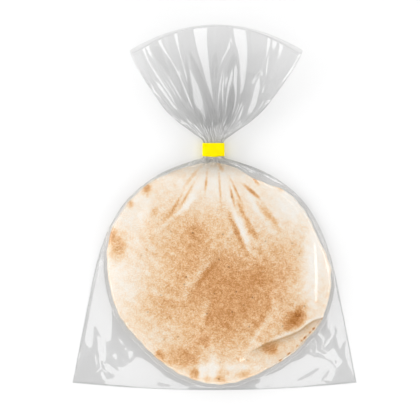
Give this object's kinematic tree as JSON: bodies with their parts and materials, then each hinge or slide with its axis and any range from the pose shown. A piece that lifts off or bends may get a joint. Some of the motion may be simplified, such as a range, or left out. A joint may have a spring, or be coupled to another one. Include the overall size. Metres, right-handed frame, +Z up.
{
  "type": "bagged flatbread",
  "caption": "Round flatbread in a clear film bag that lies flat, its neck gathered and bound with a band of yellow tape below a pleated fan of film.",
  "frame": {"origin": "on the surface that the bag lies on, below the middle of its outline", "axes": "+Z up, out of the shown side; +Y along the bag from its bottom seam to its mouth; +X across the bag, to the right seen from above with the mouth away from the viewer"},
  "size_m": [0.251, 0.3226, 0.024],
  "materials": {
    "film": "clear glossy polypropylene film; in the solid it stands for the bread behind it too",
    "bread": "baked flatbread crust, floury cream with toasted brown speckled patches",
    "tape": "satin yellow adhesive tape"
  },
  "bodies": {
    "root": {"bag": "film", "neck_tape": "tape"}
  },
  "joints": []
}
